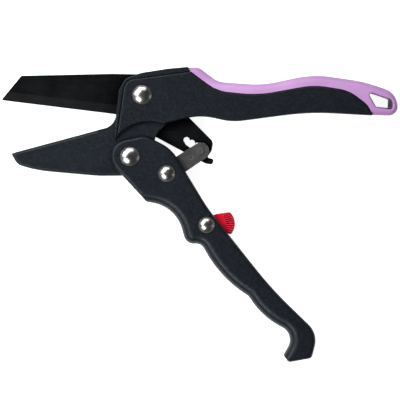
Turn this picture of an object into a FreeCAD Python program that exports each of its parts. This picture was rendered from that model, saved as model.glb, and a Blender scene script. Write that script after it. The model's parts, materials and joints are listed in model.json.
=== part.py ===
import FreeCAD, Part
import math
import os

# Anvil pruning shears with a ratchet, lying flat and open.
# The origin is on the blade pivot's axis, at the flat rear side; +X runs along the upper handle,
# +Y is up towards its outer edge, +Z is out of the front side. Sizes are in millimetres.

# ---- layers, as distances from the middle plane ----
body_thickness = 14.0        # over both outer faces of either handle
blade_thickness = 2.4
blade_side_gap = 0.15        # each side of the blade in its slot
link_thickness = 1.5
cheek_half = 4.4             # outer faces of the anvil body, inner faces of the shells
rim_height = 1.8             # raised rim round the anvil body's head
channel_half = 4.75          # inner faces of the lower handle's two sides
face_gap = 0.05              # between flat faces that slide on each other

# ---- pivots and their fasteners ----
hinge_span = (-6.1, -30.85)  # handle pivot, from the blade pivot
link_pivot_at = (18.73, 8.0)       # in the lower handle's own axes
latch_pivot_at = (51.15, 5.6)
main_rivet_radius = 3.0
main_head_radius = 4.8
small_rivet_radius = 2.5
link_head_radius = 4.15
latch_head_radius = 4.05
head_height = 2.0
tail_radius = 4.0            # flat rear end of each rivet
tail_thickness = 1.3
bush_wall = 1.1
hinge_washer_radius = 7.4
latch_washer_radius = 5.4
running_gap = 0.05           # radial, round every shaft
side_gap = 0.3               # between moving pieces that do not bear on each other

# ---- blade and anvil ----
blade_reach = 70.6           # pivot to tip
edge_distance = 11.2         # pivot to the line of the cutting edge
edge_droop = 7.0             # slope of the edge when the jaws are open, degrees
closing_angle = 22.0         # turn of the blade onto the anvil, degrees
bevel_width = 4.6
heel_reach = 13.3            # pivot to the blade's heel, along X
heel_radius = 16.5           # what the heel sweeps as the blade turns
tail_edge_distance = 8.63    # pivot to the line of the tail's upper edge
tail_edge_slope = 45.0       # of that line when open, degrees below X
tail_under_slope = 27.8      # of the tail's lower edge
tail_under_at = (9.05, -22.15)     # a point on the lower edge
edge_flat = 0.3
anvil_gap = 0.12             # left between edge and anvil when closed
jaw_reach = 65.6             # pivot to jaw tip

# ---- ratchet: link, pin and the notched slot in the blade's tail ----
link_angle = 33.6            # direction of the link when open, degrees
link_length = 20.35
link_ratio = -1.07           # turn of the link against the handle's
link_root_radius = 4.6
link_end_radius = 4.25
dimple_radius = 1.1
dimple_depth = 0.2
dimple_share = 0.72         # how far along the link the dimple lies
pin_radius = 1.0
pin_head_radius = 2.0
pin_head_height = 0.6
pin_dish_radius = 1.1        # hollow in each end of the pin
pin_dish_depth = 0.3
notch_radius = 1.5
notch_start = (22.3, -22.6)  # centre of the first notch when open
notch_slope = 28.0           # of the row of notches, degrees below X
notch_pitch = 3.0
notch_count = 3

# ---- upper handle ----
upper_reach = 128.0          # blade pivot to the end of the grip
shell_wall = 2.2
shell_edge_round = 0.9
grip_round = 3.0
hole_round = 0.7             # edge of the lanyard hole
rim_edge_round = 0.4
opening_end = 57.5           # the upper handle is open underneath up to here
tang_end = 63.0
peg_radius = 1.7
grip_start = 45.0            # the grip stretches with the reach beyond here
peg_stations = (50.0, 58.5, 77.0, 96.0)
peg_line = (-5.2, 0.045)     # height of the first peg and slope of their row

# ---- lower handle ----
lower_reach = 136.0          # handle pivot to the hook, along the handle
lower_angle = -48.0          # direction of the handle when open, degrees
closing_swing = 44.0         # turn of the lower handle when it closes, degrees
stretch_start = 62.0         # the handle stretches with its reach beyond here
web_thickness = 2.6
lower_edge_round = 1.8
finger_round = 4.5           # face edges along the finger grooves
lobe_radius = 9.8            # anvil body round the handle pivot
recess_radius = 21.7         # round relief in the head for the closed lower handle
recess_at = (4.05, -35.15)
rib_thickness = 1.6
rib_count = 4
first_rib = 71.0
rib_pitch = 11.5

# ---- safety latch ----
latch_half = 3.9
latch_hub_radius = 6.2
latch_rim_radius = 13.4
latch_rib_count = 9
latch_rib_angles = (-18.0, 26.0)   # directions of the first and last groove between the ribs
latch_groove = (0.55, 0.9)   # width and depth between the thumb ribs
latch_rib_start = 9.3        # radius where the ribbed thumb pad begins
latch_step = 1.0             # the arm's front face lies this much below the pad
latch_mouth = (8.6, 12.6)    # inner and outer radius of the slot that takes the blade's hook

# ---- springs ----
opening_wire = 1.2
opening_coil_gap = 0.9       # between the coil's inside and the bush
opening_turns = 3.5
pawl_wire = 0.5
pawl_coil_gap = 0.35         # between the coil's inside and the sleeve
pawl_turns = 2.5

middle = body_thickness / 2
blade_half = blade_thickness / 2
link_inner = blade_half + side_gap
slot_half = blade_half + blade_side_gap
mouth_half = link_inner + 0.1
link_outer = link_inner + link_thickness
sleeve_radius = small_rivet_radius + 0.9
pawl_coil_radius = sleeve_radius + pawl_coil_gap + pawl_wire / 2
bush_radius = main_rivet_radius + bush_wall
opening_coil_radius = bush_radius + opening_coil_gap + opening_wire / 2
hinge = FreeCAD.Vector(hinge_span[0], hinge_span[1], 0)
anvil_slope = closing_angle - edge_droop


def vec(x, y, z=0.0):
    return FreeCAD.Vector(x, y, z)


def turned(point, degrees, centre=vec(0, 0)):
    """The point turned about an axis along Z through centre."""
    return FreeCAD.Rotation(vec(0, 0, 1), degrees).multVec(point - centre) + centre


def polar(centre, radius, degrees):
    return centre + vec(radius * math.cos(math.radians(degrees)), radius * math.sin(math.radians(degrees)))


def from_handle(along, across):
    """A point given in the lower handle's own axes, which start at the handle pivot."""
    return hinge + turned(vec(along, across), lower_angle)


link_pivot = from_handle(*link_pivot_at)
latch_pivot = from_handle(*latch_pivot_at)
pin_centre = polar(link_pivot, link_length, link_angle)


# ---- outlines and simple solids ----

def rounded_wire(corners):
    """A closed wire of straight runs, each corner (x, y, radius) rounded by a tangent arc."""
    points = [vec(x, y) for x, y, radius in corners]
    count = len(points)
    ways = [(points[(i + 1) % count] - points[i]) for i in range(count)]
    runs = [way.Length for way in ways]
    half_turns = [ways[i - 1].getAngle(ways[i]) / 2 for i in range(count)]
    cuts = [corners[i][2] * math.tan(half_turns[i]) for i in range(count)]
    shares = [min(1.0, 0.995 * runs[i] / max(1e-9, cuts[i] + cuts[(i + 1) % count])) for i in range(count)]
    cuts = [cuts[i] * min(shares[i - 1], shares[i]) for i in range(count)]
    edges = []
    for i in range(count):
        back = ways[i - 1] / runs[i - 1]
        ahead = ways[i] / runs[i]
        start = points[i] - back * cuts[i]
        end = points[i] + ahead * cuts[i]
        if cuts[i] > 1e-6:
            inward = ahead - back
            inward.normalize()
            depth = cuts[i] * (1 / math.sin(half_turns[i]) - 1 / math.tan(half_turns[i]))
            edges.append(Part.Arc(start, points[i] + inward * depth, end).toShape())
        following = (i + 1) % count
        nearby = points[following] - ahead * cuts[following]
        if (nearby - end).Length > 1e-6:
            edges.append(Part.makeLine(end, nearby))
    return Part.Wire(edges)


def plate(outline, low, high):
    """A flat piece of an outline (corners or a wire), between two heights."""
    wire = outline if isinstance(outline, Part.Wire) else rounded_wire(outline)
    face = Part.Face(wire)
    face.translate(vec(0, 0, low))
    return face.extrude(vec(0, 0, high - low))


def centred(outline, half):
    """A flat piece as thick on one side of the middle plane as on the other."""
    return plate(outline, middle - half, middle + half)


def disc(centre, radius, low, high):
    return Part.makeCylinder(radius, high - low, vec(centre.x, centre.y, low))


def centred_disc(centre, radius, half):
    return disc(centre, radius, middle - half, middle + half)


def ring(centre, radius, bore, low, high):
    return disc(centre, radius, low, high).cut(disc(centre, bore, low, high))


def both_faces(make, inner, outer):
    """The same layer on the front and on the rear side."""
    front = make(middle + inner, middle + outer)
    return front.fuse(make(middle - outer, middle - inner))


def strap_wire(first, first_radius, second, second_radius):
    """Two round ends joined by their outer tangents."""
    way = second - first
    heading = math.degrees(math.atan2(way.y, way.x))
    spread = math.degrees(math.acos((first_radius - second_radius) / way.Length))
    one = polar(first, first_radius, heading + spread)
    two = polar(first, first_radius, heading - spread)
    three = polar(second, second_radius, heading - spread)
    four = polar(second, second_radius, heading + spread)
    return Part.Wire([
        Part.Arc(one, polar(first, first_radius, heading + 180), two).toShape(),
        Part.makeLine(two, three),
        Part.Arc(three, polar(second, second_radius, heading), four).toShape(),
        Part.makeLine(four, one),
    ])


def soften(shape, radius, chosen):
    """Round the edges whose middle point passes the test."""
    edges = []
    for edge in shape.Edges:
        at = edge.valueAt((edge.FirstParameter + edge.LastParameter) / 2)
        if chosen(at):
            edges.append(edge)
    return shape.makeFillet(radius, edges)


def on_height(height):
    return lambda at: abs(at.z - height) < 1e-3


def tidy(shape):
    clean = shape.removeSplitter()
    return clean.Solids[0] if len(clean.Solids) == 1 else clean


# ---- outlines that several pieces share ----

def grip_x(x):
    """A station along the upper handle's grip, which stretches with the handle's reach."""
    drawn_end = 128.0
    share = (upper_reach - grip_start) / (drawn_end - grip_start)
    return x if x < grip_start else grip_start + (x - grip_start) * share


def stretched(corners, station):
    return [(station(x), y, radius) for x, y, radius in corners]


def recess_disc(low, high):
    """The round relief in the head where the lower handle's head comes to rest when closed."""
    return disc(vec(*recess_at), recess_radius, low, high)


def lilac_border():
    """Where the soft grip meets the black shells, from the end of the grip to the head."""
    return stretched([
        (115.6, -10.35, 0.5),
        (113.0, -5.0, 12.0),
        (103.5, 2.2, 20.0),
        (86.0, 5.0, 40.0),
        (58.0, -0.1, 60.0),
        (37.5, 1.9, 22.0),
        (24.4, 11.7, 0.3),
    ], grip_x)


def under_edge():
    """The side of the upper handle that faces the lower one, from the head to the end."""
    return stretched([
        (29.0, -9.9, 30.0),
        (45.0, -13.6, 30.0),
        (84.0, -8.6, 130.0),
    ], grip_x)


def shell_corners():
    head = [
        (-8.6, 7.4, 6.0),
        (-13.1, -24.0, 0.5),
        (-2.0, -24.0, 0.5),
        (12.4, -14.1, 1.0),
    ]
    return under_edge() + lilac_border() + head


def outer_edge():
    """The back of the soft grip, from the head round the end of the handle."""
    return stretched([
        (28.6, 13.7, 4.5),
        (38.0, 6.5, 12.0),
        (60.0, 4.9, 50.0),
        (86.0, 10.3, 50.0),
        (111.0, 6.6, 60.0),
        (126.7, 1.3, 9.0),
        (128.9, -10.6, 4.4),
    ], grip_x)


def grip_corners():
    return [(22.9, 14.0, 0)] + outer_edge() + lilac_border()


def silhouette_corners():
    """The whole upper handle, grip and shells together, carried on a little into the head."""
    return [(8.0, 13.8, 0)] + outer_edge() + list(reversed(under_edge())) + [(8.0, -14.1, 0)]


def lanyard_hole_corners():
    return stretched([
        (112.5, 1.7, 1.2),
        (125.9, -2.7, 3.2),
        (125.6, -7.5, 1.4),
        (117.0, -6.3, 1.2),
    ], grip_x)


def lanyard_waist_corners():
    """The hole half way through, where its sloping walls meet."""
    return stretched([
        (113.2, 1.2, 0.3),
        (123.2, -2.3, 1.0),
        (123.0, -6.4, 0.3),
        (117.3, -5.9, 0.3),
    ], grip_x)


def head_back():
    """The head's outline from its left side over the blade pivot to the handle pivot."""
    return [
        (-12.5, -7.0, 12.0),
        (-11.6, 2.4, 6.0),
        (-8.3, 8.0, 4.0),
        (-1.0, 10.9, 20.0),
        (13.0, 13.1, 60.0),
        (22.9, 14.0, 0.2),
        (24.0, 12.3, 0.4),
        (24.0, -10.6, 3.0),
        (12.6, -14.0, 6.0),
        (6.2, -20.0, 9.0),
        (6.4, -25.5, 3.0),
        (2.0, -30.0, 3.0),
    ]


def head_corners():
    """The anvil body's head, which runs into the jaw's face in a wide curve."""
    throat = [
        (-14.0, -30.0, 0.4),
        (-22.0, -25.0, 0.4),
        (-22.0, anvil_face_y(-22.0), 0),
        (-13.8, anvil_face_y(-13.8), 7.5),
    ]
    return head_back() + throat


def rim_corners():
    return head_back() + [(-13.8, -30.0, 0.4), (-13.6, -20.0, 0.4)]


def anvil_face_y(x, gap=0.0):
    """Height of the anvil's face, the line that the cutting edge comes down on."""
    slope = math.radians(anvil_slope)
    return x * math.tan(slope) - (edge_distance + anvil_gap + gap) / math.cos(slope)


def jaw_corners():
    inner = -8.0
    return [
        (-jaw_reach, anvil_face_y(-jaw_reach), 0.8),
        (inner, anvil_face_y(inner), 0.4),
        (-4.0, -30.0, 0.4),
        (-6.0, -40.5, 0.4),
        (-22.0, -40.6, 60.0),
        (-jaw_reach + 13.6, -37.9, 60.0),
        (-jaw_reach + 3.2, -35.0, 6.0),
    ]


# ---- root: anvil body, shells and grip ----

def tail_line_y(x, gap):
    """Upper edge of the blade's tail when the jaws are closed, plus a gap."""
    slope = math.radians(tail_edge_slope - closing_angle)
    return (tail_edge_distance + gap - x * math.sin(slope)) / math.cos(slope)


def tail_underside_y(x, gap):
    """Lower edge of the blade's tail when the jaws are open, less a gap."""
    slope = math.radians(tail_under_slope)
    return tail_under_at[1] - gap / math.cos(slope) - (x - tail_under_at[0]) * math.tan(slope)


def blade_slot():
    """The space in the middle of the anvil body that the blade swings in."""
    bridge_x = 5.4
    far_x = 43.5
    gap = 0.8
    outline = [
        (-80.0, 30.0, 0),
        (bridge_x, 30.0, 0),
        (bridge_x, tail_line_y(bridge_x, gap), 0),
        (far_x, tail_line_y(far_x, gap), 0),
        (far_x, -60.0, 0),
        (far_x - 1.0, tail_underside_y(far_x - 1.0, gap), 0),
        (-7.9, tail_underside_y(-7.9, gap), 0),
        (-80.0, anvil_face_y(-80.0), 0),
    ]
    heel_sweep = centred_disc(vec(0, 0), heel_radius + gap, slot_half)
    below = Part.makeBox(60, 40, body_thickness, vec(-30, -45, 0))
    return centred(outline, slot_half).fuse(heel_sweep.common(below))


def shell_cavity(margin, half):
    """The hollow between the two shells, less a margin all round."""
    inside = rounded_wire(shell_corners()).makeOffset2D(-shell_wall - margin)
    return centred(inside, half)


def tang_corners():
    return [
        (20.0, 16.0, 0),
        (tang_end, 16.0, 0),
        (tang_end, -8.6, 2.0),
        (45.0, -8.6, 4.0),
        (30.0, -8.0, 4.0),
        (20.0, -11.4, 0.4),
    ]


def anvil_body():
    jaw = soften(centred(jaw_corners(), cheek_half), 1.5,
                 lambda at: abs(abs(at.z - middle) - cheek_half) < 1e-3 and at.y < anvil_face_y(at.x) - 2
                 and at.x < -14)
    lobe = centred_disc(hinge, lobe_radius, cheek_half)
    tang = centred(tang_corners(), cheek_half).common(shell_cavity(running_gap, cheek_half))
    body = centred(head_corners(), cheek_half).fuse([jaw, lobe, tang])
    rim = both_faces(rim_layer, cheek_half, cheek_half + rim_height)
    body = body.fuse(rim)
    body = body.cut(blade_slot())
    body = body.cut(centred_disc(vec(0, 0), main_rivet_radius + running_gap, middle))
    body = body.cut(centred_disc(hinge, bush_radius + running_gap, middle))
    body = body.cut(spring_pocket())
    rim_top = cheek_half + rim_height
    body = soften(body, rim_edge_round, lambda at: abs(abs(at.z - middle) - rim_top) < 1e-3)
    for station in peg_stations:
        body = body.cut(centred_disc(peg_centre(station), peg_radius + running_gap, middle))
    return tidy(body)


def rim_layer(low, high):
    inside = rounded_wire(shell_corners()).makeOffset2D(running_gap)
    layer = plate(rim_corners(), low, high).cut(plate(inside, low, high))
    layer = layer.cut(recess_disc(low, high))
    right = Part.makeBox(80, 80, high - low, vec(8, -76, low))
    return layer.cut(right)


def spring_pocket():
    """Round hollow for the opening spring, with a window for the leg that pushes the handle."""
    half = opening_turns * opening_wire / 2 + opening_wire
    radius = opening_coil_radius + opening_wire
    pocket = centred_disc(hinge, radius, half)
    reach = 18.0
    lower = polar(hinge, radius, lower_angle - 90)
    outline = [hinge, lower, polar(lower, reach, lower_angle), polar(hinge, reach, 0)]
    window = centred([(point.x, point.y, 0) for point in outline], half)
    return pocket.fuse(window)


def peg_centre(station):
    height, slope = peg_line
    return vec(grip_x(station), height + slope * (station - peg_stations[0]))


def shell(side):
    """One shell; side is 1 for the front and -1 for the rear."""
    outer = middle + side * middle
    low, high = sorted((middle, outer))
    body = plate(shell_corners(), low, high).cut(recess_disc(low, high))
    body = soften(body, shell_edge_round, on_height(outer))
    head = Part.makeBox(60, 90, 2 * cheek_half, vec(-35.9, -60, middle - cheek_half))
    underside = Part.makeBox(opening_end, 60, 2 * cheek_half, vec(0, -66, middle - cheek_half))
    body = body.cut(shell_cavity(0, cheek_half).fuse([head, underside]))
    body = body.cut(centred_disc(vec(0, 0), main_rivet_radius + running_gap, middle))
    return body


def upper_handle_front_shell():
    body = shell(1)
    floor = middle + cheek_half
    for station in peg_stations:
        socket = disc(peg_centre(station), peg_radius + running_gap, floor, floor + 1.3)
        body = body.cut(socket)
    return tidy(body)


def upper_handle_rear_shell():
    body = shell(-1)
    for station in peg_stations:
        peg = disc(peg_centre(station), peg_radius, middle - cheek_half - 0.5, middle + cheek_half + 1.2)
        body = body.fuse(peg)
    body = body.cut(disc(vec(0, 0), tail_radius + running_gap, 0, tail_thickness + face_gap))
    return tidy(body)


def lanyard_hole():
    """The hole's walls slope in from both faces to a waist in the middle."""
    mouth = rounded_wire(lanyard_hole_corners())
    waist = rounded_wire(lanyard_waist_corners())
    waist.translate(vec(0, 0, middle))
    top = mouth.copy()
    top.translate(vec(0, 0, body_thickness))
    lower = Part.makeLoft([mouth, waist], True, True)
    upper = Part.makeLoft([waist, top], True, True)
    return lower.fuse(upper)


def soft_grip():
    def on_faces(at):
        return min(at.z, body_thickness - at.z) < 1e-3

    whole = plate(silhouette_corners(), 0, body_thickness)
    whole = soften(whole, grip_round, lambda at: on_faces(at) and at.x > 9)
    body = whole.common(plate(grip_corners(), 0, body_thickness))
    body = body.cut(lanyard_hole())
    mouth = rounded_wire(lanyard_hole_corners())

    def round_the_hole(at):
        return on_faces(at) and mouth.distToShape(Part.Vertex(vec(at.x, at.y)))[0] < 0.01

    return tidy(soften(body, hole_round, round_the_hole))


# ---- rivets, bushes, washers and springs ----

def domed_rivet(centre, radius, head_radius):
    """A rivet with a domed head in front and a flat end let into the rear side."""
    front = body_thickness + face_gap
    rim = 0.5
    profile = Part.Wire([
        Part.makeLine(vec(0, 0, 0), vec(tail_radius, 0, 0)),
        Part.makeLine(vec(tail_radius, 0, 0), vec(tail_radius, 0, tail_thickness)),
        Part.makeLine(vec(tail_radius, 0, tail_thickness), vec(radius, 0, tail_thickness)),
        Part.makeLine(vec(radius, 0, tail_thickness), vec(radius, 0, front)),
        Part.makeLine(vec(radius, 0, front), vec(head_radius, 0, front)),
        Part.makeLine(vec(head_radius, 0, front), vec(head_radius, 0, front + rim)),
        dome_arc(head_radius, front + rim, head_height - rim),
        Part.makeLine(vec(0, 0, front + head_height), vec(0, 0, 0)),
    ])
    body = Part.Face(profile).revolve(vec(0, 0, 0), vec(0, 0, 1), 360)
    body.translate(vec(centre.x, centre.y, 0))
    return body


def dome_arc(radius, start, height):
    ball = (radius ** 2 + height ** 2) / (2 * height)
    half = math.asin(radius / ball) / 2
    top = vec(ball * math.sin(half), 0, start + height - ball + ball * math.cos(half))
    return Part.Arc(vec(radius, 0, start), top, vec(0, 0, start + height)).toShape()


def blade_pivot_bush():
    half = slot_half - face_gap
    return ring(vec(0, 0), bush_radius, main_rivet_radius + running_gap, middle - half, middle + half)


def handle_pivot_bush():
    return ring(hinge, bush_radius, main_rivet_radius + running_gap, middle - cheek_half, middle + cheek_half)


def thin_washer(centre, radius, bore, side):
    near = cheek_half + face_gap
    far = channel_half - face_gap
    low, high = sorted((middle + side * near, middle + side * far))
    return ring(centre, radius, bore + running_gap, low, high)


def coil_spring(centre, wire, radius, turns, start_angle, first_leg, second_leg):
    """A torsion spring: a close coil about an axis along Z, with a straight leg at each end."""
    slack = 1.08
    pitch = wire * slack
    height = pitch * turns
    helix = Part.makeHelix(pitch, height, radius)
    start = vec(radius, 0, 0)
    end = turned(vec(radius, 0, height), 360 * turns)
    rise = pitch / (2 * math.pi * radius)
    into = vec(0, 1, rise)
    into.normalize()
    out = turned(vec(0, 1, rise), 360 * turns)
    out.normalize()
    path = Part.Wire([
        Part.makeLine(start - into * first_leg, start),
        helix.Edges[0],
        Part.makeLine(end, end + out * second_leg),
    ])
    profile = Part.Wire([Part.makeCircle(wire / 2, start - into * first_leg, into)])
    body = path.makePipeShell([profile], True, False)
    body.rotate(vec(0, 0, 0), vec(0, 0, 1), start_angle)
    body.translate(vec(centre.x, centre.y, middle - height / 2))
    return body


def opening_spring():
    fixed_leg = 3.0
    pushing_leg = 17.0
    start = lower_angle - 90 - 360 * opening_turns
    return coil_spring(hinge, opening_wire, opening_coil_radius, opening_turns, start, fixed_leg, pushing_leg)


def pawl_spring():
    start = 150
    short_leg = 3.0
    long_leg = 5.0
    return coil_spring(link_pivot, pawl_wire, pawl_coil_radius, pawl_turns, start, short_leg, long_leg)


# ---- blade ----

def edge_point(x, gap=0.0):
    """A point on the line of the cutting edge when the jaws are open."""
    slope = math.radians(edge_droop)
    return vec(x, -x * math.tan(slope) - (edge_distance - gap) / math.cos(slope))


def blade_corners():
    tip = edge_point(-blade_reach)
    heel = edge_point(-heel_reach)
    return [
        (tip.x, tip.y, 0.5),
        (-blade_reach + 10.1, 9.6, 0.4),
        (-15.5, 10.6, 30.0),
        (2.0, 10.3, 6.0),
        (35.6, -23.4, 3.0),
        (34.9, -27.8, 4.0),
        (32.6, -31.3, 0.6),
        (35.9, -32.3, 0.7),
        (35.2, -34.9, 1.1),
        (31.9, -34.4, 3.0),
        (-7.4, -13.55, 2.0),
        (heel.x, heel.y, 2.0),
    ]


def pin_path(share):
    """Where the ratchet pin is in the blade's own frame, from open (0) to closed (1)."""
    swing = closing_swing * share
    pivot = turned(link_pivot, swing, hinge)
    heading = link_angle + swing * (1 + link_ratio)
    return turned(polar(pivot, link_length, heading), -closing_angle * share)


def slot_cut():
    """The notched slot: a straight run for the pin, and notches along its upper edge."""
    half = blade_thickness
    clear = pin_radius + 0.22
    pieces = []
    steps = 6
    for i in range(steps):
        first = pin_path(i / steps)
        second = pin_path((i + 1) / steps)
        pieces.append(centred(strap_wire(first, clear, second, clear), half))
    for i in range(notch_count):
        centre = polar(vec(*notch_start), notch_pitch * i, -notch_slope)
        pieces.append(centred_disc(centre, notch_radius, half))
    lower = [
        (21.2, -24.3, 1.2),
        (22.6, -21.4, 0.4),
        (26.2, -24.6, 0.4),
        (30.2, -28.6, 1.0),
        (27.4, -28.9, 1.2),
    ]
    pieces.append(centred(lower, half))
    return pieces[0].fuse(pieces[1:])


def edge_bevels():
    """What grinding takes off both faces along the cutting edge."""
    slope = math.radians(edge_droop)
    inward = vec(math.sin(slope), math.cos(slope))
    along = vec(math.cos(slope), -math.sin(slope))
    start = edge_point(-blade_reach) - along * 10
    wedges = []
    for side in (1, -1):
        low = start - inward * 2 + vec(0, 0, middle + side * edge_flat / 2)
        deep = start + inward * bevel_width + vec(0, 0, middle + side * blade_half)
        slant = (blade_half - edge_flat / 2) * 2 / bevel_width
        low = low - vec(0, 0, side * slant)
        high = start - inward * 2 + vec(0, 0, middle + side * blade_thickness)
        far = start + inward * bevel_width + vec(0, 0, middle + side * blade_thickness)
        wedge = Part.Face(Part.makePolygon([low, deep, far, high, low]))
        wedges.append(wedge.extrude(along * (blade_reach - heel_reach + 12.0)))
    return wedges[0].fuse(wedges[1])


def blade():
    body = centred(blade_corners(), blade_half)
    body = body.cut(centred_disc(vec(0, 0), bush_radius + running_gap, middle))
    body = body.cut(slot_cut())
    body = body.cut(edge_bevels())
    return tidy(body)


# ---- lower handle ----

def handle_u(along):
    """A station along the lower handle, which stretches with its reach beyond the latch."""
    drawn_end = 136.0
    share = (lower_reach - stretch_start) / (drawn_end - stretch_start)
    return along if along < stretch_start else stretch_start + (along - stretch_start) * share


def in_handle(corners):
    placed = []
    for along, across, radius in corners:
        point = from_handle(handle_u(along), across)
        placed.append((point.x, point.y, radius))
    return placed


def finger_grooves():
    """The finger side of the handle, from the hook back to the head, in the handle's own axes."""
    return [
        (121.6, 2.0, 7.0),
        (104.0, -4.5, 40.0),
        (91.7, -2.6, 5.0),
        (75.0, -6.9, 60.0),
        (56.3, -2.6, 4.5),
        (51.4, -8.4, 5.0),
        (34.1, 0.2, 18.0),
    ]


def lower_handle_corners():
    inner_side = [
        (-9.4, 1.7, 9.0),
        (-3.2, 12.6, 9.0),
        (11.1, 18.1, 20.0),
        (46.0, 11.6, 100.0),
        (97.0, 8.5, 200.0),
        (128.8, 10.7, 11.0),
    ]
    hook = [
        (135.9, 0.1, 2.2),
        (129.7, -9.9, 2.0),
        (125.3, -9.5, 2.0),
    ]
    head = [
        (22.4, -9.0, 3.0),
        (-9.4, -9.3, 9.2),
    ]
    return in_handle(inner_side + hook + finger_grooves() + head)


def finger_rounding():
    """All that lies on the handle's side of the finger grooves, with their face edges well rounded."""
    beyond_hook = (126.6, -13.5, 0)
    before_groove = (14.0, -15.9, 0)
    around = [(-40.0, -15.9, 0), (-40.0, 40.0, 0), (170.0, 40.0, 0), (170.0, -13.5, 0)]
    whole = plate(in_handle(around + [beyond_hook] + finger_grooves() + [before_groove]), 0, body_thickness)
    return soften(whole, finger_round, lambda at: min(at.z, body_thickness - at.z) < 1e-3)


def channel_opening():
    return in_handle([
        (-24.0, 0.0, 0),
        (8.0, 0.0, 0),
        (34.0, 8.0, 0),
        (60.0, 4.0, 0),
        (100.0, 3.0, 0),
        (117.5, 5.5, 0),
        (117.5, 40.0, 0),
        (-24.0, 40.0, 0),
    ])


def spring_seat():
    """Room along the web for the pushing leg of the opening spring."""
    depth = -(opening_coil_radius + opening_wire / 2 + 0.2)
    return in_handle([(0.0, depth, 0), (24.0, depth, 0), (24.0, 0.0, 0), (0.0, 0.0, 0)])


def rib(station):
    """A cross rib between the two sides of the channel."""
    outline = in_handle([
        (station - rib_thickness / 2, -8.0, 0),
        (station + rib_thickness / 2, -8.0, 0),
        (station + rib_thickness / 2, 4.6, 0),
        (station - rib_thickness / 2, 4.6, 0),
    ])
    return centred(outline, channel_half)


def lower_handle():
    wire = rounded_wire(lower_handle_corners())
    full = plate(wire, 0, body_thickness)
    full = soften(full, lower_edge_round, lambda at: min(at.z, body_thickness - at.z) < 1e-3)
    full = full.common(finger_rounding())
    inside = centred(wire.makeOffset2D(-web_thickness), channel_half)
    hollow = inside.fuse([centred(channel_opening(), channel_half), centred(spring_seat(), channel_half),
                          centred_disc(hinge, lobe_radius + side_gap + 0.3, channel_half)])
    body = full.cut(hollow)
    for i in range(rib_count):
        body = body.fuse(rib(first_rib + i * rib_pitch).common(full))
    for centre, radius in ((hinge, main_rivet_radius), (link_pivot, small_rivet_radius),
                           (latch_pivot, small_rivet_radius)):
        body = body.cut(centred_disc(centre, radius + running_gap, middle))
        body = body.cut(disc(centre, tail_radius + side_gap, 0, tail_thickness + face_gap))
    return tidy(body)


# ---- link ----

def link_plate(side):
    low, high = sorted((middle + side * link_inner, middle + side * link_outer))
    body = plate(strap_wire(link_pivot, link_root_radius, pin_centre, link_end_radius), low, high)
    body = body.cut(disc(link_pivot, small_rivet_radius + running_gap, low, high))
    body = body.cut(disc(pin_centre, pin_radius, low, high))
    dimple = polar(link_pivot, link_length * dimple_share, link_angle)
    outer = middle + side * link_outer
    shallow = sorted((outer, outer - side * dimple_depth))
    return tidy(body.cut(disc(dimple, dimple_radius, shallow[0], shallow[1])))


def link_spacer(side):
    low, high = sorted((middle + side * (link_outer + face_gap), middle + side * (channel_half - face_gap)))
    return ring(link_pivot, small_rivet_radius + bush_wall, small_rivet_radius + running_gap, low, high)


def link_centre_sleeve():
    half = link_inner - face_gap
    return ring(link_pivot, sleeve_radius, small_rivet_radius + running_gap, middle - half, middle + half)


def ratchet_pin():
    """A pin riveted over at both ends, each with a shallow dish."""
    tip = link_outer + pin_head_height
    body = centred_disc(pin_centre, pin_radius, tip)
    for side in (1, -1):
        low, high = sorted((middle + side * link_outer, middle + side * tip))
        body = body.fuse(disc(pin_centre, pin_head_radius, low, high))
    body = soften(body, 0.25, lambda at: abs(abs(at.z - middle) - tip) < 1e-3)
    for side in (1, -1):
        low, high = sorted((middle + side * tip, middle + side * (tip - pin_dish_depth)))
        body = body.cut(disc(pin_centre, pin_dish_radius, low, high))
    return tidy(body)


# ---- latch ----

def latch_corner(radius, degrees, rounding):
    point = polar(latch_pivot, radius, degrees)
    return (point.x, point.y, rounding)


def safety_latch():
    outline = [
        latch_corner(3.0, 60, 0.2),
        latch_corner(6.8, 52, 2.0),
        latch_corner(13.6, 29, 2.0),
        latch_corner(latch_rim_radius + 1.0, 14, 8.0),
        latch_corner(latch_rim_radius + 1.0, -4, 8.0),
        latch_corner(13.3, -22, 1.2),
        latch_corner(10.5, -22, 1.5),
        latch_corner(6.0, -60, 2.0),
        latch_corner(3.0, -100, 0.2),
    ]
    body = centred(outline, latch_half).fuse(centred_disc(latch_pivot, latch_hub_radius, latch_half))
    mouth = centred_disc(latch_pivot, latch_mouth[1], mouth_half)
    mouth = mouth.cut(centred_disc(latch_pivot, latch_mouth[0], mouth_half))
    keep = [latch_corner(0.0, 0, 0), latch_corner(30.0, 4, 0), latch_corner(40.0, 50, 0),
            latch_corner(30.0, 110, 0)]
    body = body.cut(mouth.common(centred(keep, mouth_half)))
    front = middle + latch_half
    body = body.cut(ring(latch_pivot, latch_rib_start, latch_hub_radius, front - latch_step, front))
    width, depth = latch_groove
    first, last = latch_rib_angles
    for i in range(latch_rib_count):
        degrees = first + (last - first) * i / (latch_rib_count - 1)
        groove = Part.makeBox(6, width, depth, vec(latch_rib_start - 0.5, -width / 2, 0))
        groove.rotate(vec(0, 0, 0), vec(0, 0, 1), degrees)
        groove.translate(vec(latch_pivot.x, latch_pivot.y, front - depth))
        body = body.cut(groove)
    body = body.cut(centred_disc(latch_pivot, small_rivet_radius + running_gap, middle))
    return tidy(body)


def latch_washer(side):
    low, high = sorted((middle + side * (latch_half + face_gap), middle + side * (channel_half - face_gap)))
    return ring(latch_pivot, latch_washer_radius, small_rivet_radius + running_gap, low, high)


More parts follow.
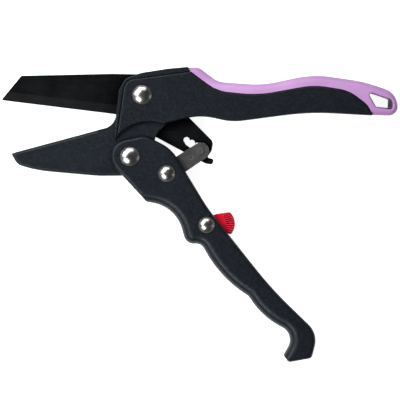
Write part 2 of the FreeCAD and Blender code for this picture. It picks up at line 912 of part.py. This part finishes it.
pieces = {
    "anvil_body": anvil_body(),
    "upper_handle_front_shell": upper_handle_front_shell(),
    "upper_handle_rear_shell": upper_handle_rear_shell(),
    "soft_grip": soft_grip(),
    "blade_pivot_rivet": domed_rivet(vec(0, 0), main_rivet_radius, main_head_radius),
    "blade_pivot_bush": blade_pivot_bush(),
    "handle_pivot_rivet": domed_rivet(hinge, main_rivet_radius, main_head_radius),
    "handle_pivot_bush": handle_pivot_bush(),
    "handle_washer_front": thin_washer(hinge, hinge_washer_radius, main_rivet_radius, 1),
    "handle_washer_rear": thin_washer(hinge, hinge_washer_radius, main_rivet_radius, -1),
    "opening_spring": opening_spring(),
    "blade": blade(),
    "lower_handle": lower_handle(),
    "link_pivot_rivet": domed_rivet(link_pivot, small_rivet_radius, link_head_radius),
    "link_spacer_front": link_spacer(1),
    "link_spacer_rear": link_spacer(-1),
    "latch_pivot_rivet": domed_rivet(latch_pivot, small_rivet_radius, latch_head_radius),
    "latch_washer_front": latch_washer(1),
    "latch_washer_rear": latch_washer(-1),
    "link_front": link_plate(1),
    "link_rear": link_plate(-1),
    "link_centre_sleeve": link_centre_sleeve(),
    "ratchet_pin": ratchet_pin(),
    "pawl_spring": pawl_spring(),
    "safety_latch": safety_latch(),
}

os.makedirs("parts", exist_ok=True)
for name, shape in pieces.items():
    shape.exportStep("parts/" + name + ".step")
    print(name, "valid", shape.isValid(), "solids", len(shape.Solids), "volume", round(shape.Volume, 1))
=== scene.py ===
import bpy
import json
import math
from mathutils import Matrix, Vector


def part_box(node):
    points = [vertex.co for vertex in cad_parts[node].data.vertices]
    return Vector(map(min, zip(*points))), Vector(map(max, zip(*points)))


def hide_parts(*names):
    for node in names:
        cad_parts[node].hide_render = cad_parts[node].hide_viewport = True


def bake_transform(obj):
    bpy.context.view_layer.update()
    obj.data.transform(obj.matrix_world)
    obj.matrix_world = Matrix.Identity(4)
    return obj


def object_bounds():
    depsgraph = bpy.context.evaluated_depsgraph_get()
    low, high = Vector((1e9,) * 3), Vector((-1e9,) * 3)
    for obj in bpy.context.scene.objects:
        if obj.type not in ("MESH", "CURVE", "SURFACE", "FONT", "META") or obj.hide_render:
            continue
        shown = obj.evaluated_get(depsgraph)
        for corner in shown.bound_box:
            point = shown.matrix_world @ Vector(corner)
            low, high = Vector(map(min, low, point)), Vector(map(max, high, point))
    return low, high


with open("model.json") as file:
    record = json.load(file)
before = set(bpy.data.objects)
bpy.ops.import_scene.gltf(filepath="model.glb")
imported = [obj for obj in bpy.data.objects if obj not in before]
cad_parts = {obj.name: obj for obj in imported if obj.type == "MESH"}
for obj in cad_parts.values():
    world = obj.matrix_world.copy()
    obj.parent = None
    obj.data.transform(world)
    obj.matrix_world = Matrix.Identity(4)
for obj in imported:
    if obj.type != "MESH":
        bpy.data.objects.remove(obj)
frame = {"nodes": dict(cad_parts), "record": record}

cad_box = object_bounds()

nodes = frame["nodes"]


# ---- material building blocks ----

class Shader:
    """A Principled material whose detail is built from procedural nodes in the object's own metres.

    The colour and roughness given first are what a viewer without the nodes shows.
    """

    def __init__(self, name, color, roughness, metallic=0.0):
        self.material = bpy.data.materials.new(name)
        self.material.use_nodes = True
        self.tree = self.material.node_tree
        self.shader = self.tree.nodes["Principled BSDF"]
        self.shader.inputs["Base Color"].default_value = (*color, 1.0)
        self.shader.inputs["Roughness"].default_value = roughness
        self.shader.inputs["Metallic"].default_value = metallic
        self.height = None

    def node(self, kind, **values):
        made = self.tree.nodes.new(kind)
        for key, value in values.items():
            setattr(made, key, value)
        return made

    def link(self, output, to):
        self.tree.links.new(output, to)

    def place(self, scale=(1.0, 1.0, 1.0), angle=0.0):
        """Object coordinates, stretched and turned in the object's plane."""
        coordinates = self.node("ShaderNodeTexCoord")
        mapping = self.node("ShaderNodeMapping")
        mapping.inputs["Scale"].default_value = scale
        mapping.inputs["Rotation"].default_value = (0.0, 0.0, math.radians(angle))
        self.link(coordinates.outputs["Object"], mapping.inputs["Vector"])
        return mapping.outputs["Vector"]

    def noise(self, size, detail=3.0, roughness=0.55, at=None):
        """Noise whose blotches are about size metres across."""
        made = self.node("ShaderNodeTexNoise")
        made.inputs["Scale"].default_value = 1.0 / size
        made.inputs["Detail"].default_value = detail
        made.inputs["Roughness"].default_value = roughness
        self.link(at or self.place(), made.inputs["Vector"])
        return made.outputs["Fac"]

    def spread(self, value, low, high, start=0.35, end=0.65):
        """The value, from start to end, carried to low to high."""
        made = self.node("ShaderNodeMapRange")
        made.inputs["From Min"].default_value = start
        made.inputs["From Max"].default_value = end
        made.inputs["To Min"].default_value = low
        made.inputs["To Max"].default_value = high
        self.link(value, made.inputs["Value"])
        return made.outputs["Result"]

    def mix(self, factor, first, second):
        """Two colours, each a tuple or another node's output, mixed by the factor."""
        made = self.node("ShaderNodeMix", data_type="RGBA")
        factor_socket, first_socket, second_socket = made.inputs[0], made.inputs[6], made.inputs[7]
        colour_result = made.outputs[2]
        for socket, colour in ((first_socket, first), (second_socket, second)):
            if isinstance(colour, tuple):
                socket.default_value = (*colour, 1.0)
            else:
                self.link(colour, socket)
        self.link(factor, factor_socket)
        return colour_result

    def tint(self, factor, first, second):
        self.link(self.mix(factor, first, second), self.shader.inputs["Base Color"])

    def gloss(self, value, low, high):
        self.link(self.spread(value, low, high), self.shader.inputs["Roughness"])

    def edges(self, radius, most):
        """Up to most on outer and inner edges within radius metres, 0 on flat faces."""
        sharp = 0.75
        flat = 0.98
        bevel = self.node("ShaderNodeBevel", samples=6)
        bevel.inputs["Radius"].default_value = radius
        face = self.node("ShaderNodeNewGeometry")
        likeness = self.node("ShaderNodeVectorMath", operation="DOT_PRODUCT")
        self.link(bevel.outputs["Normal"], likeness.inputs[0])
        self.link(face.outputs["Normal"], likeness.inputs[1])
        return self.spread(likeness.outputs["Value"], most, 0.0, sharp, flat)

    def painted_shade_mask(self, reach, open_at, closed_at):
        """Mask for painted shade: 0 where the surface is open to the air, 1 deep in a hole."""
        occlusion = self.node("ShaderNodeAmbientOcclusion", samples=8)
        occlusion.inputs["Distance"].default_value = reach
        return self.spread(occlusion.outputs["AO"], 1.0, 0.0, closed_at, open_at)

    def bump(self, value, depth, strength=1.0):
        """Add relief of about depth metres."""
        made = self.node("ShaderNodeBump")
        made.inputs["Distance"].default_value = depth
        made.inputs["Strength"].default_value = strength
        self.link(value, made.inputs["Height"])
        if self.height:
            self.link(self.height, made.inputs["Normal"])
        self.height = made.outputs["Normal"]
        self.link(self.height, self.shader.inputs["Normal"])


def black_nylon():
    m = Shader("black_nylon", (0.010, 0.011, 0.0145), 0.5)
    sand = m.noise(0.0011, 3.0, 0.7)
    grain = m.noise(0.00035, 2.0, 0.6)
    cloud = m.noise(0.020, 4.0, 0.6)
    body = m.mix(m.spread(cloud, 0.0, 1.0), (0.0036, 0.0050, 0.0084), (0.0066, 0.0086, 0.0138))
    speckled = m.mix(m.spread(sand, 0.0, 0.5, 0.52, 0.72), body, (0.018, 0.0205, 0.028))
    worn = m.mix(m.edges(0.0005, 0.25), speckled, (0.050, 0.056, 0.070))
    # Painted shade: near-black where other parts or recess walls are close, standing in for shade.
    with_painted_shade = m.mix(m.painted_shade_mask(0.0035, 0.85, 0.40), worn, (0.0008, 0.0009, 0.0012))
    m.link(with_painted_shade, m.shader.inputs["Base Color"])
    m.gloss(sand, 0.34, 0.48)
    m.bump(sand, 0.00009, 0.5)
    m.bump(grain, 0.00003, 0.4)
    m.shader.inputs["Specular IOR Level"].default_value = 0.36
    m.shader.inputs["Specular Tint"].default_value = (0.80, 0.92, 1.0, 1.0)
    return m.material


def lilac_rubber():
    m = Shader("lilac_rubber", (0.52, 0.27, 0.58), 0.42)
    cloud = m.noise(0.022, 3.0, 0.5)
    grain = m.noise(0.0005, 2.0, 0.6)
    body = m.mix(m.spread(cloud, 0.0, 1.0), (0.61, 0.31, 0.68), (0.72, 0.41, 0.79))
    # Painted shade: dark purple deep in the lanyard hole and other recesses, standing in for shade.
    with_painted_shade = m.mix(m.painted_shade_mask(0.010, 0.90, 0.58), body, (0.045, 0.008, 0.070))
    m.link(with_painted_shade, m.shader.inputs["Base Color"])
    m.gloss(grain, 0.36, 0.50)
    m.bump(grain, 0.00004, 0.35)
    m.shader.inputs["Subsurface Weight"].default_value = 0.05
    m.shader.inputs["Subsurface Radius"].default_value = (0.0012, 0.0008, 0.0012)
    m.shader.inputs["Subsurface Scale"].default_value = 1.0
    return m.material


def blade_coating():
    m = Shader("blade_coating", (0.005, 0.006, 0.007), 0.36)
    grind = m.noise(0.0005, 3.0, 0.6, m.place((0.06, 1.0, 1.0), 7.0))
    cloud = m.noise(0.014, 4.0, 0.65)
    scuff = m.noise(0.0016, 5.0, 0.8)
    body = m.mix(m.spread(cloud, 0.0, 1.0), (0.0022, 0.0028, 0.0034), (0.0066, 0.0080, 0.0092))
    scuffed = m.mix(m.spread(scuff, 0.0, 0.35, 0.66, 0.76), body, (0.020, 0.023, 0.025))
    worn = m.mix(m.edges(0.00035, 0.7), scuffed, (0.22, 0.22, 0.23))
    # Painted shade: near-black where the blade lies close to other parts, standing in for their shade.
    with_painted_shade = m.mix(m.painted_shade_mask(0.008, 0.97, 0.70), worn, (0.0004, 0.0005, 0.0006))
    m.link(with_painted_shade, m.shader.inputs["Base Color"])
    m.gloss(grind, 0.26, 0.38)
    m.bump(grind, 0.00002, 0.15)
    m.shader.inputs["Specular IOR Level"].default_value = 0.10
    return m.material


def grey_steel():
    m = Shader("grey_steel", (0.17, 0.165, 0.165), 0.42, 0.85)
    rolled = m.noise(0.0004, 3.0, 0.6, m.place((0.08, 1.0, 1.0), -33.0))
    cloud = m.noise(0.006, 4.0, 0.6)
    body = m.mix(m.spread(cloud, 0.0, 1.0), (0.086, 0.083, 0.084), (0.126, 0.121, 0.121))
    worn = m.mix(m.edges(0.0003, 0.8), body, (0.50, 0.50, 0.50))
    m.link(worn, m.shader.inputs["Base Color"])
    m.gloss(rolled, 0.36, 0.54)
    m.bump(rolled, 0.00002, 0.4)
    return m.material


def polished_steel():
    m = Shader("polished_steel", (0.62, 0.61, 0.61), 0.2, 1.0)
    haze = m.noise(0.0035, 2.0, 0.5)
    scratch = m.noise(0.0003, 2.0, 0.6, m.place((0.05, 1.0, 1.0), 35.0))
    m.tint(m.spread(haze, 0.0, 1.0), (0.42, 0.415, 0.41), (0.55, 0.545, 0.54))
    m.gloss(haze, 0.20, 0.26)
    m.bump(haze, 0.00001, 0.2)
    m.bump(scratch, 0.00001, 0.3)
    return m.material


def spring_steel():
    m = Shader("spring_steel", (0.36, 0.35, 0.33), 0.30, 1.0)
    drawn = m.noise(0.0008, 3.0, 0.6)
    m.tint(m.spread(drawn, 0.0, 1.0), (0.30, 0.29, 0.27), (0.44, 0.43, 0.41))
    m.gloss(drawn, 0.25, 0.42)
    m.bump(drawn, 0.00002, 0.3)
    return m.material


def white_nylon():
    m = Shader("white_nylon", (0.72, 0.70, 0.65), 0.45)
    cloud = m.noise(0.003, 3.0, 0.5)
    m.tint(m.spread(cloud, 0.0, 1.0), (0.68, 0.66, 0.60), (0.76, 0.74, 0.69))
    m.gloss(cloud, 0.38, 0.52)
    m.bump(cloud, 0.00003, 0.3)
    return m.material


def red_plastic():
    m = Shader("red_plastic", (0.72, 0.006, 0.035), 0.25)
    cloud = m.noise(0.006, 3.0, 0.5)
    grain = m.noise(0.0006, 2.0, 0.6)
    body = m.mix(m.spread(cloud, 0.0, 1.0), (0.80, 0.002, 0.024), (0.92, 0.006, 0.036))
    rubbed = m.mix(m.edges(0.0003, 0.8), body, (1.0, 0.14, 0.21))
    # Painted shade: dark red in the rib grooves and recesses, standing in for shade.
    with_painted_shade = m.mix(m.painted_shade_mask(0.0022, 0.85, 0.35), rubbed, (0.38, 0.0, 0.016))
    m.link(with_painted_shade, m.shader.inputs["Base Color"])
    m.gloss(grain, 0.20, 0.34)
    m.bump(grain, 0.00003, 0.3)
    m.shader.inputs["Coat Weight"].default_value = 0.15
    m.shader.inputs["Coat Roughness"].default_value = 0.12
    return m.material


def plain_floor():
    """Near white, and a little luminous, like a light table."""
    m = Shader("plain_floor", (0.92, 0.92, 0.92), 0.8)
    cloud = m.noise(0.25, 2.0, 0.5)
    m.tint(m.spread(cloud, 0.0, 1.0), (0.915, 0.915, 0.915), (0.925, 0.925, 0.925))
    m.gloss(cloud, 0.75, 0.85)
    m.shader.inputs["Emission Color"].default_value = (1.0, 1.0, 1.0, 1.0)
    m.shader.inputs["Emission Strength"].default_value = 0.92
    return m.material


# ---- CAD nodes take their finish ----

finishes = {
    "black_nylon": black_nylon(),
    "lilac_grip": lilac_rubber(),
    "blade_coating": blade_coating(),
    "grey_steel": grey_steel(),
    "polished_steel": polished_steel(),
    "spring_steel": spring_steel(),
    "white_nylon": white_nylon(),
    "red_plastic": red_plastic(),
}


def dress_nodes():
    for entry in frame["record"]["subparts"]:
        mesh = nodes[entry["node"]].data
        mesh.materials.clear()
        mesh.materials.append(finishes[entry["material_slot"]])


# ---- the opening spring, a wire coiled round the handle pivot ----

def spring_path(hinge, heading):
    """Points of the wire's middle line, each with its outward direction: leg, coil, pushing leg."""
    radius = 0.0056
    turns = 3.5
    pitch = 0.0013
    first_leg = 3
    pushing_leg = 17
    step = math.radians(10.0)
    leg_step = 0.001
    end_turn = heading - math.pi / 2
    slope = pitch / (2 * math.pi * radius)
    count = round(2 * math.pi * turns / step)
    stations = [(0, -leg_step * i) for i in range(first_leg, 0, -1)]
    stations += [(i, 0.0) for i in range(count + 1)]
    stations += [(count, leg_step * i) for i in range(1, pushing_leg + 1)]
    path = []
    for index, beyond in stations:
        turn = end_turn - step * (count - index)
        outward = Vector((math.cos(turn), math.sin(turn), 0.0))
        ahead = Vector((-math.sin(turn), math.cos(turn), slope))
        rise = pitch * (index / count - 0.5) * turns
        path.append((hinge + outward * radius + ahead * beyond + Vector((0.0, 0.0, rise)), outward, ahead))
    return path


def opening_spring_wound():
    """The wire of the opening spring, coiled round the handle pivot, shown in place of the CAD spring."""
    sides = 12
    wire_radius = 0.0006
    heading = math.radians(-48.0)
    joints = {joint["name"]: joint for joint in frame["record"]["behaviour"]["joints"]}
    hinge = Vector(joints["handle_pivot"]["pos_m"])
    path = spring_path(hinge, heading)
    points = []
    for centre, outward, ahead in path:
        across = ahead.cross(outward).normalized()
        for i in range(sides):
            turn = 2 * math.pi * i / sides
            points.append(centre + wire_radius * (math.cos(turn) * outward + math.sin(turn) * across))
    faces = []
    for i in range(len(path) - 1):
        for j in range(sides):
            following = (j + 1) % sides
            here = i * sides
            ahead_of_it = here + sides
            faces.append((here + j, ahead_of_it + j, ahead_of_it + following, here + following))
    last = (len(path) - 1) * sides
    faces.append(tuple(range(sides)))
    faces.append(tuple(last + j for j in reversed(range(sides))))
    mesh = bpy.data.meshes.new("opening_spring_wound")
    mesh.from_pydata(points, [], faces)
    for face in mesh.polygons:
        face.use_smooth = len(face.vertices) == 4
    mesh.materials.append(finishes["spring_steel"])
    piece = bpy.data.objects.new("opening_spring_wound", mesh)
    bpy.context.scene.collection.objects.link(piece)
    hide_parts("opening_spring")
    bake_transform(piece)


# ---- floor, light and camera ----

def floor():
    half = 1.5
    drop = 0.0002
    mesh = bpy.data.meshes.new("floor")
    centre = (cad_box[0] + cad_box[1]) / 2
    corners = [(-half, -half), (half, -half), (half, half), (-half, half)]
    low = cad_box[0].z - drop
    mesh.from_pydata([(centre.x + x, centre.y + y, low) for x, y in corners], [], [(0, 1, 2, 3)])
    mesh.materials.append(plain_floor())
    made = bpy.data.objects.new("floor", mesh)
    bpy.context.scene.collection.objects.link(made)
    made.visible_diffuse = False


def area_light(name, place, target, size, power):
    data = bpy.data.lights.new(name, "AREA")
    data.shape = "RECTANGLE"
    data.size, data.size_y = size
    data.energy = power
    made = bpy.data.objects.new(name, data)
    made.location = place
    made.rotation_euler = (Vector(target) - Vector(place)).to_track_quat("-Z", "Y").to_euler()
    bpy.context.scene.collection.objects.link(made)


def world_light(overhead, horizon):
    """A dim sky above and a brighter one low down, as between studio walls."""
    world = bpy.data.worlds.new("studio")
    world.use_nodes = True
    tree = world.node_tree
    background = tree.nodes["Background"]
    background.inputs["Color"].default_value = (1.0, 1.0, 1.0, 1.0)
    coordinates = tree.nodes.new("ShaderNodeTexCoord")
    axes = tree.nodes.new("ShaderNodeSeparateXYZ")
    fall = tree.nodes.new("ShaderNodeMapRange")
    fall.interpolation_type = "SMOOTHSTEP"
    fall.inputs["From Min"].default_value = 0.0
    fall.inputs["From Max"].default_value = 0.7
    fall.inputs["To Min"].default_value = horizon
    fall.inputs["To Max"].default_value = overhead
    tree.links.new(coordinates.outputs["Generated"], axes.inputs["Vector"])
    tree.links.new(axes.outputs["Z"], fall.inputs["Value"])
    tree.links.new(fall.outputs["Result"], background.inputs["Strength"])
    bpy.context.scene.world = world


def camera():
    """Straight above, the outer edge of the upper handle to the top of the picture."""
    distance = 3.0
    view_width = 0.200
    aim = Vector((0.0001, 0.0072))
    data = bpy.data.cameras.new("camera")
    data.sensor_width = 36.0
    data.lens = data.sensor_width * distance / view_width
    made = bpy.data.objects.new("camera", data)
    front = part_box("upper_handle_front_shell")[1].z
    middle = (cad_box[0] + cad_box[1]) / 2
    made.location = (middle.x + aim.x, middle.y + aim.y, front + distance)
    bpy.context.scene.collection.objects.link(made)
    bpy.context.scene.camera = made


def studio_lights():
    """Large soft boxes off the vertical, most of them on the left.

    Each has a name, an azimuth and an elevation in degrees, a distance, a size and a power.
    """
    centre = (cad_box[0] + cad_box[1]) / 2
    boxes = [
        ("upper_left", 140, 50, 0.70, (0.60, 0.26), 3.0),
        ("lower_left", 224, 53, 0.70, (0.40, 0.24), 2.1),
        ("top", 92, 42, 0.75, (0.5, 0.24), 1.2),
        ("right", 350, 30, 0.9, (0.3, 0.3), 0.12),
    ]
    for name, azimuth, elevation, distance, size, power in boxes:
        turn = math.radians(azimuth)
        rise = math.radians(elevation)
        towards = Vector((math.cos(turn) * math.cos(rise), math.sin(turn) * math.cos(rise), math.sin(rise)))
        area_light(name, centre + distance * towards, centre, size, power)


bpy.context.scene.view_settings.view_transform = "Standard"
dress_nodes()
opening_spring_wound()
floor()
world_light(0.06, 0.22)
studio_lights()
camera()
